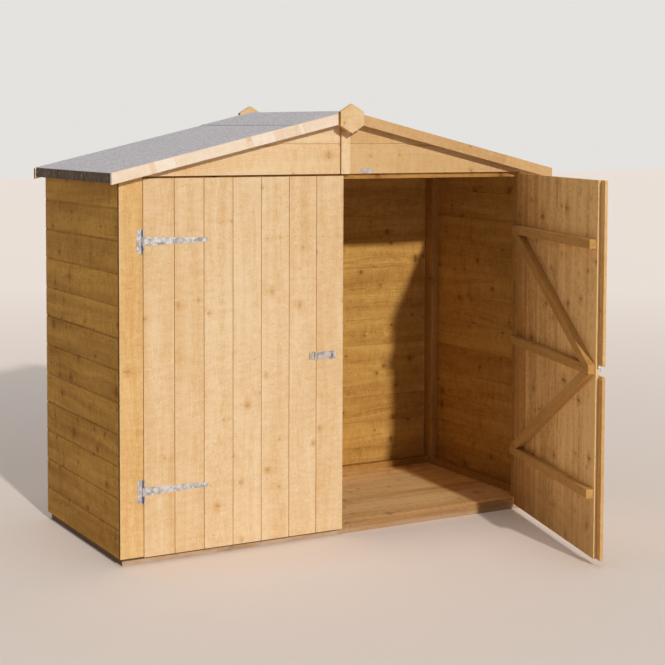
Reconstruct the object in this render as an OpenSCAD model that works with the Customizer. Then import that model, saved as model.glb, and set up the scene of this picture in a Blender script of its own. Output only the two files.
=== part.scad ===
/* [Body] */
// Width over the side cladding
body_w = 1826; // [1500:2:2400]
// Depth from the front trims to the back boards
body_d = 784; // [600:2:1200]
// Thickness of the wall cladding
clad_t = 12; // [10:1:16]
// Height of the cladding's bottom edge above the ground
clad_lift = 28; // [18:1:32]
// Visible height of the bottom cladding board
clad_first = 106; // [80:1:140]
// Cover of each cladding board above it
clad_cover = 115; // [90:1:150]
// Height of the hollow at the top of each shiplap board
scoop_h = 12; // [6:1:16]
// Depth of that hollow
scoop_d = 4.5; // [2:0.5:6]

/* [Framing] */
// Thickness of the framing battens
batten_t = 28; // [22:1:38]
// Width of the framing battens
batten_w = 34; // [30:1:50]
// Height of the floor bearers
bearer_h = 34; // [28:1:45]
// Thickness of the floor
floor_t = 12; // [9:1:18]
// Distance of the base behind the front trims' face
base_set = 16; // [16:1:24]
// Number of cross bearers under the floor
bearer_n = 5; // [3:2:7]

/* [Front] */
// Width of the corner trims
trim_w = 90; // [70:1:130]
// Thickness of the trims and of the gable cladding
trim_t = 12; // [10:1:15]
// Height of the doors' bottom edge above the ground
door_lift = 25; // [18:1:40]
// Height of the doors
door_h = 1360; // [1200:5:1500]
// Thickness of the door boards
door_t = 11; // [9:1:11]
// Number of boards in each door
door_boards = 7; // [5:1:9]
// Gap between a door and its trim
hinge_gap = 5; // [2:0.5:8]
// Gap between the closed doors
meet_gap = 6; // [5:0.5:10]
// Gap between the doors and the gable above them
head_gap = 7.5; // [5:0.5:12]
// Overlap of the header behind the top of the doors
head_lap = 13; // [8:1:20]
// Room between the doors and the header that stops them
stop_gap = 5; // [5:0.5:8]
// Width of the cover strip up the middle of the gable
strip_w = 40; // [30:1:60]
// Thickness of that cover strip
strip_t = 12; // [8:1:15]
// Width of the blank plate on the gable
plate_w = 52; // [30:1:80]
// Height of the blank plate
plate_h = 19; // [12:1:30]
// Distance of the plate's left edge from the middle
plate_x = 73; // [40:1:200]

/* [Doors] */
// Height of the lower ledge's middle above the ground
ledge_low = 260; // [150:5:400]
// Height of the upper ledge's middle above the ground
ledge_high = 1158; // [1000:2:1280]
// Distance of the ledges from the door's hinge edge
ledge_in = 15; // [12:1:40]
// Distance of the ledges from the door's free edge
ledge_out = 5; // [3:1:30]
// Thickness of the ledges and braces
ledge_t = 28; // [18:1:34]
// Width of the ledges and braces
ledge_w = 34; // [28:1:60]
// Width of the V joint between two door boards
vee_w = 3; // [2:0.5:5]
// Depth of that V joint
vee_d = 1.5; // [1:0.5:3]
// Overhang of the slam strips past the right door's free edge
slam_out = 33; // [20:1:45]
// Width of the slam strips
slam_w = 60; // [50:1:90]
// Thickness of the slam strips
slam_t = 12; // [8:1:15]
// Height of the gap between the upper and lower slam strips
slam_gap = 39; // [38:1:60]
// Height of the middle of that gap above the ground
hasp_z = 705; // [600:5:800]
// Angle by which the right door stands open
right_open = 74; // [20:1:110]

/* [Roof] */
// Slope of the roof in degrees
roof_pitch = 13.2; // [10:0.1:18]
// Clearance of the roof boards over the ends of the header
eave_gap = 5.3; // [3:0.1:40]
// Thickness of the roof boards
deck_t = 12; // [9:1:16]
// Overhang of the felt's outer face past the side cladding
eave_out = 41; // [38:1:70]
// Thickness of the roofing felt
felt_t = 2; // [1.5:0.5:4]
// Height of the felt's turned-down edge
felt_drop = 35; // [30:1:50]
// Overhang of the roof deck in front of the trims
front_out = 28; // [15:1:60]
// Overhang of the roof deck behind the back boards
back_out = 2; // [2:1:40]
// Fitting gap under the roof boards
roof_seat = 0.1; // [0.05:0.05:0.5]
// Joint between timbers that meet at the ridge
ridge_gap = 0.5; // [0.3:0.1:0.8]
// Length by which the felt's turned-down edge stops short of the deck's back end
felt_short = 15; // [0:1:20]
// Width of the ridge capping down each slope
cap_w = 238; // [80:2:300]
// Depth of the barge boards, square to the slope
barge_h = 40; // [30:1:60]
// Thickness of the barge boards
barge_t = 14; // [10:1:20]
// Height by which the front barge boards stand above the deck
barge_up = 4; // [3:0.5:8]
// Width of the hexagonal finial blocks
finial_w = 101; // [70:1:140]
// Height of the finial blocks over their points
finial_h = 111; // [80:1:150]
// Height of the finials' upright sides
finial_side = 52; // [20:1:70]
// Thickness of the finial blocks
finial_t = 18; // [12:1:24]
// Height of the finials' middle above the lower corner of the barge boards
finial_up = 12; // [0:1:30]
// Overhang of the barge boards' ends past the felt
barge_out = 1; // [0:1:10]

/* [Ironwork] */
// Distance of the hinge pins outside the doorway's edge
pin_out = 1; // [0:0.5:12]
// Radius of the hinge knuckles
knuckle_r = 4.5; // [3.5:0.5:6]
// Radius of the hinge pins
pin_r = 2.2; // [1.5:0.1:3]
// Clearance of each pin in its knuckle, and beside it
pin_gap = 0.3; // [0.2:0.1:0.5]
// Thickness of the hinge plates and straps
iron_t = 2; // [1.5:0.5:3]
// Gap between the ironwork that turns and the timber behind it
iron_gap = 0.5; // [0.3:0.1:0.8]
// Height of the hinges' middle above the middle of the ledges
hinge_up = 4; // [0:0.5:8]
// Height of the hinge plates on the trims
hinge_plate_h = 84; // [60:1:120]
// Width of the hinge plates, from the pin outwards
hinge_plate_w = 23; // [18:1:40]
// Length of the straps, from the pin
strap_l = 254; // [180:2:400]
// Height of a strap at its root
strap_root = 30; // [24:1:40]
// Height of a strap at its tip
strap_tip = 16; // [10:1:22]
// Distance of the hasp's pin from the middle of the front
hasp_x = 52; // [46:1:80]
// Length of the hasp's leaf, from its pin
hasp_l = 98; // [80:1:130]
// Height of the hasp's leaves
hasp_h = 28; // [22:1:28]
// Thickness of the hasp's leaves
hasp_t = 1.6; // [1:0.2:2.4]
// Width of the hasp's fixed plate, from its pin
hasp_plate_w = 16; // [10:1:18]
// Radius of the hasp's knuckles
hasp_r = 4; // [3:0.5:5]
// Radius of the hasp's pin
hasp_pin_r = 1.6; // [1:0.1:2]
// Distance of the staple from the hasp's pin
staple_x = 81; // [70:1:88]
// Height of the slot in the hasp's leaf
slot_h = 22; // [18:1:22]
// Width of that slot
slot_w = 8; // [6:0.5:12]
// Distance by which the staple stands out from its plate
staple_out = 20; // [16:1:26]
// Height over the staple's two legs
staple_h = 18; // [14:1:18]
// Thickness of the staple's wire
wire_t = 4; // [3:0.5:5]
// Width and height of the staple's base plate
staple_plate = 30; // [24:1:36]

/* [Hidden] */
$fn = 48;
half_w = body_w / 2;
front_y = -body_d / 2;
back_y = body_d / 2;
inner_x = half_w - clad_t;
inner_y = back_y - clad_t;
floor_z = bearer_h + floor_t;
base_y = front_y + base_set;
slope = tan(roof_pitch);
cos_p = cos(roof_pitch);
deck_x = half_w + eave_out - felt_t;
deck_y0 = front_y - front_out;
deck_y1 = back_y + back_out;
door_x = half_w - trim_w;
leaf_w = door_x - hinge_gap - meet_gap / 2;
door_z1 = door_lift + door_h;
gable_z = door_z1 + head_gap;
head_z = door_z1 - head_lap;
head_top = head_z + batten_w;
frame_y = front_y + trim_t;
post_x = inner_x - batten_w;
ridge_z = head_top + eave_gap + post_x * slope + deck_t / cos_p;
pin_x = door_x + pin_out;
pin_y = front_y - knuckle_r - pin_gap;
hasp_y = front_y - hasp_r - pin_gap;
slam_x = meet_gap / 2 - slam_out;
plate_knuckle = (hinge_plate_h - strap_root) / 2 - pin_gap;
ledges = [ledge_low, (ledge_low + ledge_high) / 2, ledge_high];
felt_rise = felt_t / cos_p;

pale_wood = [0.91, 0.77, 0.57];
trim_wood = [0.93, 0.78, 0.56];
shade_wood = [0.72, 0.52, 0.31];
barge_wood = [0.95, 0.84, 0.70];
floor_wood = [0.66, 0.47, 0.28];
felt_grey = [0.66, 0.65, 0.67];
galvanised = [0.78, 0.77, 0.79];

// Underside of the roof boards at a distance x from the middle
function deck_foot(x) = ridge_z - deck_t / cos_p - x * slope;

// Top of the timbers under them at a distance x from the middle
function under(x) = deck_foot(x) - roof_seat;

// Heights of the joints between the cladding boards, from the bottom up
function joints_from(z, top) = z > top ? [] : concat([z], joints_from(z + clad_cover, top));
side_joints = joints_from(clad_lift + clad_first, under(half_w) - scoop_h);
back_joints = joints_from(clad_lift + clad_first, under(0) - 2 * scoop_h);
gable_joints = joints_from(gable_z + clad_cover, under(0) - 2 * scoop_h);

// Box from its lowest corner to its highest corner
module box(low, high) {
    translate(low) cube(high - low);
}

// Copy of a part on each side of the middle
module both_sides() {
    children();
    mirror([1, 0, 0]) children();
}

// Outline in the XZ plane given thickness along Y, from y0 to y1
module slab_xz(y0, y1) {
    translate([0, y1, 0]) rotate([90, 0, 0]) linear_extrude(y1 - y0) children();
}

// Hollow along the top of a shiplap board below the joint, cut from a face at depth 0
module scoop() {
    polygon([[1, -scoop_h], [0, -scoop_h], [-0.6 * scoop_d, -0.62 * scoop_h], [-0.92 * scoop_d, -0.3 * scoop_h],
        [-scoop_d, 0], [1, 0]]);
}

// Scoops along Y on a face that looks to +X
module scoops_along_y(x, y0, y1, levels) {
    for (z = levels)
        translate([x, y1, z]) rotate([90, 0, 0]) linear_extrude(y1 - y0) scoop();
}

// Scoops along X on a face that looks to -Y
module scoops_along_x(y, half, levels) {
    for (z = levels)
        translate([-half, y, z]) rotate([90, 0, 90]) linear_extrude(2 * half) mirror([1, 0]) scoop();
}

module base_rails() {
    color(floor_wood) {
        box([-inner_x, base_y, 0], [inner_x, base_y + batten_w, bearer_h]);
        box([-inner_x, inner_y - batten_w, 0], [inner_x, inner_y, bearer_h]);
    }
}

module cross_bearers() {
    reach = inner_x - batten_w / 2;
    color(floor_wood)
        for (i = [0 : bearer_n - 1]) {
            x = -reach + 2 * reach * i / (bearer_n - 1);
            box([x - batten_w / 2, base_y + batten_w, 0], [x + batten_w / 2, inner_y - batten_w, bearer_h]);
        }
}

module floor() {
    color(floor_wood) box([-inner_x, base_y, bearer_h], [inner_x, inner_y, floor_z]);
}

// Side wall of horizontal shiplap, cut to the slope of the roof at the top
module side_wall() {
    difference() {
        slab_xz(frame_y, inner_y)
            polygon([[inner_x, clad_lift], [half_w, clad_lift], [half_w, under(half_w)], [inner_x, under(inner_x)]]);
        scoops_along_y(half_w, frame_y - 1, inner_y + 1, side_joints);
    }
}

module left_wall() {
    color(shade_wood) mirror([1, 0, 0]) side_wall();
}

module right_wall() {
    color(shade_wood) side_wall();
}

module back_wall() {
    color(pale_wood)
        difference() {
            slab_xz(inner_y, back_y)
                polygon([[-half_w, clad_lift], [half_w, clad_lift], [half_w, under(half_w)], [0, under(0)],
                    [-half_w, under(half_w)]]);
            mirror([0, 1, 0]) scoops_along_x(-back_y, half_w + 1, back_joints);
        }
}

module side_posts() {
    outline = [[post_x, floor_z], [inner_x, floor_z], [inner_x, under(inner_x)], [post_x, under(post_x)]];
    color(shade_wood)
        both_sides() {
            slab_xz(frame_y, frame_y + batten_t) polygon(outline);
            slab_xz(inner_y - batten_w - batten_t, inner_y - batten_w) polygon(outline);
        }
}

module side_rails() {
    y0 = frame_y + batten_t;
    y1 = inner_y - batten_w - batten_t;
    rail_z = under(inner_x) - batten_t;
    color(shade_wood)
        both_sides() {
            box([post_x, y0, floor_z], [inner_x, y1, floor_z + batten_t]);
            slab_xz(y0, y1)
                polygon([[post_x, rail_z], [inner_x, rail_z], [inner_x, under(inner_x)], [post_x, under(post_x)]]);
        }
}

module back_posts() {
    y0 = inner_y - batten_w;
    color(shade_wood) {
        both_sides()
            slab_xz(y0, inner_y)
                polygon([[post_x, floor_z], [inner_x, floor_z], [inner_x, under(inner_x)], [post_x, under(post_x)]]);
        box([-batten_t / 2, y0, floor_z + batten_t], [batten_t / 2, inner_y, head_z]);
    }
}

module back_rails() {
    y0 = inner_y - batten_w;
    color(shade_wood) {
        box([-post_x, y0, floor_z], [post_x, inner_y, floor_z + batten_t]);
        box([-post_x, y0, head_z], [post_x, inner_y, head_top]);
    }
}

// Rafter against a gable, from the rail below it up to the ridge
module rafter() {
    toe = min(post_x, (under(0) - batten_w / cos_p - head_top) / slope);
    polygon([[ridge_gap, under(ridge_gap)], [post_x, under(post_x)], [post_x, head_top], [toe, head_top],
        [ridge_gap, under(ridge_gap) - batten_w / cos_p]]);
}

module back_rafters() {
    color(shade_wood) both_sides() slab_xz(inner_y - batten_w, inner_y) rafter();
}

module front_rafters() {
    color(shade_wood) both_sides() slab_xz(frame_y, frame_y + batten_t) rafter();
}

module corner_trims() {
    color(trim_wood)
        both_sides()
            slab_xz(front_y, frame_y)
                polygon([[door_x, clad_lift], [half_w, clad_lift], [half_w, under(half_w)], [door_x, under(door_x)]]);
}

module door_jambs() {
    color(shade_wood)
        both_sides() box([door_x, frame_y, floor_z], [door_x + batten_w, frame_y + batten_t, head_z]);
}

// Rail above the doorway, rebated where it stops the doors
module door_header() {
    lap_z = gable_z;
    face = front_y + door_t + stop_gap;
    color(shade_wood)
        translate([-post_x, 0, 0]) rotate([90, 0, 90]) linear_extrude(2 * post_x)
            polygon([[face, head_z], [frame_y + batten_t, head_z], [frame_y + batten_t, head_top],
                [frame_y, head_top], [frame_y, lap_z], [face, lap_z]]);
}

module front_gable() {
    color(pale_wood)
        difference() {
            slab_xz(front_y, frame_y)
                polygon([[-door_x, gable_z], [door_x, gable_z], [door_x, under(door_x)], [0, under(0)],
                    [-door_x, under(door_x)]]);
            scoops_along_x(front_y, door_x + 1, gable_joints);
        }
}

module gable_strip() {
    w = strip_w / 2;
    color(trim_wood)
        slab_xz(front_y - strip_t, front_y)
            polygon([[-w, gable_z], [w, gable_z], [w, under(w)], [0, under(0)], [-w, under(w)]]);
}

module blank_plate() {
    z0 = gable_z + 1;
    color(galvanised)
        difference() {
            box([plate_x, front_y - hasp_t, z0], [plate_x + plate_w, front_y, z0 + plate_h]);
            for (x = [5, plate_w - 5])
                translate([plate_x + x, front_y + 1, z0 + plate_h / 2]) rotate([90, 0, 0]) cylinder(h = 4, d = 3);
        }
}

// Roof deck of one slope, from the ridge to the eave
module deck() {
    slab_xz(deck_y0, deck_y1)
        polygon([[0, deck_foot(0)], [deck_x, deck_foot(deck_x)], [deck_x, ridge_z - deck_x * slope], [0, ridge_z]]);
}

module roof_left() {
    color(shade_wood) mirror([1, 0, 0]) deck();
}

module roof_right() {
    color(shade_wood) deck();
}

// One sheet over both slopes and the back barge boards, turned down over the eave battens
module roof_felt() {
    top = ridge_z + felt_rise;
    edge = ridge_z - deck_x * slope;
    outer = deck_x + felt_t;
    outer_z = top - outer * slope;
    color(felt_grey) {
        slab_xz(deck_y0, deck_y1 - felt_short)
            polygon([[0, top], [outer, outer_z], [outer, outer_z - felt_drop], [deck_x, outer_z - felt_drop],
                [deck_x, edge], [0, ridge_z], [-deck_x, edge], [-deck_x, outer_z - felt_drop],
                [-outer, outer_z - felt_drop], [-outer, outer_z]]);
        slab_xz(deck_y1 - felt_short - 1, deck_y1 + barge_t)
            polygon([[0, top], [outer, outer_z], [outer, outer_z - felt_rise], [deck_x, edge], [0, ridge_z],
                [-deck_x, edge], [-outer, outer_z - felt_rise], [-outer, outer_z]]);
    }
}

// Strip of felt lapped over the ridge
module ridge_cap() {
    low = ridge_z + felt_rise;
    x = cap_w * cos_p;
    color(felt_grey)
        slab_xz(deck_y0, deck_y1 + barge_t)
            polygon([[0, low + felt_rise], [x, low + felt_rise - x * slope], [x, low - x * slope], [0, low],
                [-x, low - x * slope], [-x, low + felt_rise - x * slope]]);
}

module eave_battens() {
    x0 = deck_x - batten_w;
    foot = ridge_z + felt_rise - (deck_x + felt_t) * slope - felt_drop + felt_t;
    color(shade_wood)
        both_sides()
            slab_xz(deck_y0, deck_y1)
                polygon([[x0, foot], [deck_x, foot], [deck_x, under(deck_x)], [x0, under(x0)]]);
}

module ridge_battens() {
    x0 = ridge_gap;
    x1 = ridge_gap + batten_w;
    color(shade_wood)
        both_sides()
            slab_xz(frame_y + batten_t, inner_y - batten_w)
                polygon([[x0, under(x0)], [x1, under(x1)], [x1, under(x1) - batten_t], [x0, under(x0) - batten_t]]);
}

// Barge board of one slope, plumb cut at the ridge and at the eave
module barge(y0, up) {
    top = ridge_z + up / cos_p;
    tall = barge_h / cos_p;
    end_x = deck_x + felt_t + barge_out;
    slab_xz(y0, y0 + barge_t)
        polygon([[ridge_gap, top - ridge_gap * slope], [end_x, top - end_x * slope],
            [end_x, top - end_x * slope - tall], [ridge_gap, top - ridge_gap * slope - tall]]);
}

module barge_front_left() {
    color(barge_wood) mirror([1, 0, 0]) barge(deck_y0 - barge_t, barge_up);
}

module barge_front_right() {
    color(barge_wood) barge(deck_y0 - barge_t, barge_up);
}

module barge_back_left() {
    color(barge_wood) mirror([1, 0, 0]) barge(deck_y1, -roof_seat);
}

module barge_back_right() {
    color(barge_wood) barge(deck_y1, -roof_seat);
}

// Hexagonal block over the meeting of two barge boards
module finial(y0) {
    w = finial_w / 2;
    mid = ridge_z + (barge_up - barge_h) / cos_p + finial_up;
    slab_xz(y0, y0 + finial_t)
        polygon([[0, mid - finial_h / 2], [w, mid - finial_side / 2], [w, mid + finial_side / 2],
            [0, mid + finial_h / 2], [-w, mid + finial_side / 2], [-w, mid - finial_side / 2]]);
}

module front_finial() {
    color(trim_wood) finial(deck_y0 - barge_t - finial_t);
}

module back_finial() {
    color(trim_wood) finial(deck_y1 + barge_t);
}

// Barrel on a vertical pin, centred on height z
module barrel(r, z, h) {
    translate([0, 0, z - h / 2]) cylinder(r = r, h = h);
}

// Plate of a tee hinge, rolled round its pin above and below the strap
module hinge_plate() {
    eye_z = (strap_root + plate_knuckle) / 2 + pin_gap;
    back = -pin_y + front_y;
    difference() {
        box([0, back - iron_t, -hinge_plate_h / 2], [hinge_plate_w, back, hinge_plate_h / 2]);
        box([-1, back - iron_t - 1, -strap_root / 2 - pin_gap],
            [knuckle_r + pin_gap, back + 1, strap_root / 2 + pin_gap]);
        for (z = [-1, 1])
            translate([0.65 * hinge_plate_w, back + 1, z * 0.32 * hinge_plate_h])
                rotate([90, 0, 0]) cylinder(h = iron_t + 2, d = 4);
    }
    for (z = [-eye_z, eye_z]) barrel(knuckle_r, z, plate_knuckle);
    barrel(pin_r, 0, 2 * eye_z + plate_knuckle);
}

module hinge_plates() {
    color(galvanised)
        both_sides()
            for (z = [ledge_low, ledge_high]) translate([pin_x, pin_y, z + hinge_up]) hinge_plate();
}

// Strap of a tee hinge, tapered to a round tip, pointing to -X from the pin's axis
module hinge_strap() {
    back = -pin_y + front_y;
    tip_r = strap_tip / 2;
    root_x = pin_out + hinge_gap + 2;
    difference() {
        union() {
            translate([0, back, 0]) rotate([90, 0, 0]) linear_extrude(iron_t) {
                polygon([[-root_x, -strap_root / 2], [-root_x, strap_root / 2],
                    [-(strap_l - tip_r), tip_r], [-(strap_l - tip_r), -tip_r]]);
                translate([-(strap_l - tip_r), 0]) circle(tip_r);
            }
            box([-root_x - iron_t, back - iron_t - iron_gap, -strap_root / 2], [0, back - iron_gap, strap_root / 2]);
            barrel(knuckle_r, 0, strap_root);
        }
        barrel(pin_r + pin_gap, 0, strap_root + 2);
        for (s = [0.16, 0.38, 0.62, 0.86])
            translate([-s * strap_l, back + 1, 0]) rotate([90, 0, 0]) cylinder(h = iron_t + 2, d = 4);
    }
}

// Boards of one door as they stand closed, on the side of +X
module leaf_boards() {
    x0 = meet_gap / 2;
    cover = leaf_w / door_boards;
    difference() {
        box([x0, front_y, door_lift], [x0 + leaf_w, front_y + door_t, door_z1]);
        for (i = [1 : door_boards - 1])
            for (y = [front_y, front_y + door_t])
                translate([x0 + i * cover, y, door_lift - 1]) linear_extrude(door_h + 2)
                    polygon([[-vee_w / 2, 0], [0, vee_d], [vee_w / 2, 0], [0, -vee_d]]);
    }
}

module leaf_ledges() {
    y = front_y + door_t;
    for (z = ledges)
        box([meet_gap / 2 + ledge_out, y, z - ledge_w / 2],
            [meet_gap / 2 + leaf_w - ledge_in, y + ledge_t, z + ledge_w / 2]);
}

// Braces from the middle ledge's free end up and down to the hinge side
module leaf_braces() {
    y = front_y + door_t;
    x0 = meet_gap / 2 + ledge_out;
    x1 = meet_gap / 2 + leaf_w - ledge_in;
    rise = ledges[2] - ledges[1] - ledge_w;
    lean = atan2(rise, x1 - x0);
    foot = ledge_w / sin(lean);
    for (s = [-1, 1])
        slab_xz(y, y + ledge_t)
            polygon([[x0, ledges[1] + s * ledge_w / 2], [x0 + foot, ledges[1] + s * ledge_w / 2],
                [x1, ledges[1] + s * (ledge_w / 2 + rise)], [x1 - foot, ledges[1] + s * (ledge_w / 2 + rise)]]);
}

module leaf_straps() {
    for (z = [ledge_low, ledge_high]) translate([pin_x, pin_y, z + hinge_up]) hinge_strap();
}

// The right door's closed place, swung open about its pins
module swung_open() {
    translate([pin_x, pin_y, 0]) rotate([0, 0, right_open]) translate([-pin_x, -pin_y, 0]) children();
}

module left_door_boards() {
    color(pale_wood) mirror([1, 0, 0]) leaf_boards();
}

module left_door_ledges() {
    color(shade_wood) mirror([1, 0, 0]) leaf_ledges();
}

module left_door_braces() {
    color(shade_wood) mirror([1, 0, 0]) leaf_braces();
}

module left_door_straps() {
    color(galvanised) mirror([1, 0, 0]) leaf_straps();
}

module right_door_boards() {
    color(pale_wood) swung_open() leaf_boards();
}

module right_door_ledges() {
    color(shade_wood) swung_open() leaf_ledges();
}

module right_door_braces() {
    color(shade_wood) swung_open() leaf_braces();
}

module right_door_straps() {
    color(galvanised) swung_open() leaf_straps();
}

module slam_strips() {
    color(trim_wood)
        swung_open() {
            box([slam_x, front_y - slam_t, door_lift], [slam_x + slam_w, front_y, hasp_z - slam_gap / 2]);
            box([slam_x, front_y - slam_t, hasp_z + slam_gap / 2], [slam_x + slam_w, front_y, door_z1]);
        }
}

// Fixed plate of the hasp on the left door, with two knuckles and the pin
module hasp_plate() {
    eye_h = hasp_h / 4;
    back = -hasp_y + front_y;
    color(galvanised)
        translate([-hasp_x, hasp_y, hasp_z]) {
            difference() {
                box([0, back - hasp_t, -hasp_h / 2], [hasp_plate_w, back, hasp_h / 2]);
                box([-1, back - hasp_t - 1, eye_h - hasp_h / 2 - pin_gap],
                    [hasp_r + pin_gap, back + 1, hasp_h / 2 - eye_h + pin_gap]);
            }
            for (s = [-1, 1]) barrel(hasp_r, s * (hasp_h - eye_h) / 2, eye_h);
            barrel(hasp_pin_r, 0, hasp_h);
        }
}

// Slotted leaf of the hasp, folded back over the left door
module hasp_leaf() {
    eye_h = hasp_h / 2 - 2 * pin_gap;
    near = -hasp_y + front_y - iron_gap;
    r = 4;
    color(galvanised)
        translate([-hasp_x, hasp_y, hasp_z])
            difference() {
                union() {
                    barrel(hasp_r, 0, eye_h);
                    box([-hasp_r - 2, near - hasp_t, -eye_h / 2], [0, near, eye_h / 2]);
                    translate([0, near, 0]) rotate([90, 0, 0]) linear_extrude(hasp_t) {
                        translate([r - hasp_l, -hasp_h / 2]) square([hasp_l - r - hasp_r - 1, hasp_h]);
                        translate([-hasp_l, r - hasp_h / 2]) square([r, hasp_h - 2 * r]);
                        for (z = [-1, 1]) translate([r - hasp_l, z * (hasp_h / 2 - r)]) circle(r);
                    }
                }
                barrel(hasp_pin_r + pin_gap, 0, eye_h + 2);
                translate([-staple_x, near, 0]) box([-slot_w / 2, -hasp_t - 1, -slot_h / 2], [slot_w / 2, 1, slot_h / 2]);
            }
}

// Wire staple that the hasp's slot drops over, standing on its plate
module hasp_staple() {
    mid = staple_x - hasp_x;
    leg = staple_out - staple_h / 2;
    color(galvanised)
        swung_open()
            translate([mid, front_y, hasp_z]) {
                box([-staple_plate / 2, -hasp_t, -staple_plate / 2], [staple_plate / 2, 0, staple_plate / 2]);
                for (z = [-1, 1])
                    translate([0, 0, z * (staple_h - wire_t) / 2])
                        rotate([90, 0, 0]) cylinder(h = leg + hasp_t, d = wire_t);
                translate([0, -leg - hasp_t, 0]) rotate([0, -90, 0]) rotate([0, 0, 180])
                    rotate_extrude(angle = 180) translate([(staple_h - wire_t) / 2, 0]) circle(d = wire_t);
            }
}

base_rails();
cross_bearers();
floor();
left_wall();
right_wall();
back_wall();
side_posts();
side_rails();
back_posts();
back_rails();
back_rafters();
front_rafters();
corner_trims();
door_jambs();
door_header();
front_gable();
gable_strip();
blank_plate();
roof_left();
roof_right();
roof_felt();
ridge_cap();
eave_battens();
ridge_battens();
barge_front_left();
barge_front_right();
barge_back_left();
barge_back_right();
front_finial();
back_finial();
hinge_plates();
left_door_boards();
left_door_ledges();
left_door_braces();
left_door_straps();
hasp_plate();
right_door_boards();
right_door_ledges();
right_door_braces();
right_door_straps();
slam_strips();
hasp_staple();
hasp_leaf();
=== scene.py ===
import math
import random
from functools import partial

import bmesh
import bpy
from mathutils import Matrix, Vector


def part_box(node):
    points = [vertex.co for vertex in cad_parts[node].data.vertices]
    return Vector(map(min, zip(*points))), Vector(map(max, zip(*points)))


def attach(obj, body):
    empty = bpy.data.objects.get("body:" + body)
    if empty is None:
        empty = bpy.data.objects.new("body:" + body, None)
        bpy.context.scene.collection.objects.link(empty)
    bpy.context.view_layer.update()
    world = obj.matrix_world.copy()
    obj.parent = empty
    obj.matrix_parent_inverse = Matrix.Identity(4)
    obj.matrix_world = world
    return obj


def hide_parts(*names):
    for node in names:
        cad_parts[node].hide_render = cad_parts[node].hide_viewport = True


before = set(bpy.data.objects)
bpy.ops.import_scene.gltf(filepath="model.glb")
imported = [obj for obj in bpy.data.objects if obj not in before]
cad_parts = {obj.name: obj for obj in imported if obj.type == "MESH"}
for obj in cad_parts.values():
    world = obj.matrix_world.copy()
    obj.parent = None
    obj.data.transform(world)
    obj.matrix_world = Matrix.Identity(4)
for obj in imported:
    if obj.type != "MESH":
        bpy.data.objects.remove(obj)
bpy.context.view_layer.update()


# Camera: eye height, a few steps to the left of the front and well back.
# The frame is set low on the sensor, as the shed stands low in the picture.
def stand(name, data):
    """Makes a camera, a light or a mesh an object of the scene."""
    thing = bpy.data.objects.new(name, data)
    bpy.context.scene.collection.objects.link(thing)
    return thing


picture, centre_row, focal = 665.0, 217.67, 1513.55
sensor = 36.0
view = bpy.data.cameras.new("view_from_front_left")
view.sensor_width = sensor
view.lens = focal / picture * sensor
view.shift_y = (centre_row - picture / 2) / picture
view.clip_end = 100.0
camera = stand("camera", view)
camera.location = (-2.8691, -5.3791, 1.5647)
camera.rotation_euler = (math.radians(90 - 3.375), -0.0038, math.radians(-29.456))
bpy.context.scene.camera = camera


# Stage: a pale, matt floor under plain studio light. The key light comes straight on
# and low, as the sun does in the morning. A soft, cool top light reaches the roof, and
# the sky fills the shade.
def shader_part(tree, kind, **settings):
    part = tree.nodes.new(kind)
    for name, value in settings.items():
        setattr(part, name, value)
    return part


def join(tree, value, slot):
    """Joins another part's outlet to a socket, or sets the socket to a plain value."""
    if isinstance(value, bpy.types.NodeSocket):
        tree.links.new(value, slot)
    else:
        slot.default_value = value


def fed(tree, part, values):
    """Gives a part's sockets their values in turn."""
    for slot, value in zip(part.inputs, values):
        join(tree, value, slot)
    return part


def sum_of(tree, operation, *values, clamp=False):
    part = shader_part(tree, "ShaderNodeMath", operation=operation, use_clamp=clamp)
    return fed(tree, part, values).outputs[0]


def vector_sum(tree, operation, *values):
    part = fed(tree, shader_part(tree, "ShaderNodeVectorMath", operation=operation), values)
    return part.outputs["Value" if operation == "LENGTH" else "Vector"]


def ramp(tree, *values, kind="SMOOTHSTEP"):
    """Turns a value, between two limits, into a run between two other values, or from 0 to 1."""
    part = shader_part(tree, "ShaderNodeMapRange", interpolation_type=kind)
    return fed(tree, part, values).outputs["Result"]


def place_on(tree):
    return shader_part(tree, "ShaderNodeTexCoord").outputs["Object"]


def new_finish(name):
    finish = bpy.data.materials.new(name)
    finish.use_nodes = True
    return finish, finish.node_tree, finish.node_tree.nodes["Principled BSDF"]


def add_sun(name, energy, spread, colour, location):
    sun = bpy.data.lights.new(name, "SUN")
    sun.energy = energy
    sun.angle = math.radians(spread)
    sun.color = colour
    light = stand(name, sun)
    light.location = location
    return light


key_light = add_sun("key_light", 2.2, 2.0, (1.0, 0.97, 0.92), (0.0, -6.0, 3.0))
key_light.rotation_euler = Vector((0.07, 1.0, -0.43)).to_track_quat("-Z", "Y").to_euler()
add_sun("top_light", 0.7, 30.0, (0.92, 0.94, 1.0), (0.0, 0.0, 4.0))

# The camera and bright metal see a lighter sky than the one that fills the shade.
world = bpy.data.worlds.new("studio")
bpy.context.scene.world = world
world.use_nodes = True
sky = world.node_tree
fill = sky.nodes["Background"]
fill.inputs["Color"].default_value = (1.0, 0.955, 0.88, 1.0)
fill.inputs["Strength"].default_value = 0.20
seen = shader_part(sky, "ShaderNodeBackground")
seen.inputs["Color"].default_value = (0.78, 0.765, 0.74, 1.0)
ray = shader_part(sky, "ShaderNodeLightPath").outputs
mirrored = sum_of(sky, "ADD", ray["Is Glossy Ray"], ray["Is Transmission Ray"])
seen_by = sum_of(sky, "ADD", ray["Is Camera Ray"], mirrored, clamp=True)
pick = fed(sky, shader_part(sky, "ShaderNodeMixShader"), (seen_by, fill.outputs[0], seen.outputs[0]))
join(sky, pick.outputs[0], sky.nodes["World Output"].inputs["Surface"])

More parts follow.
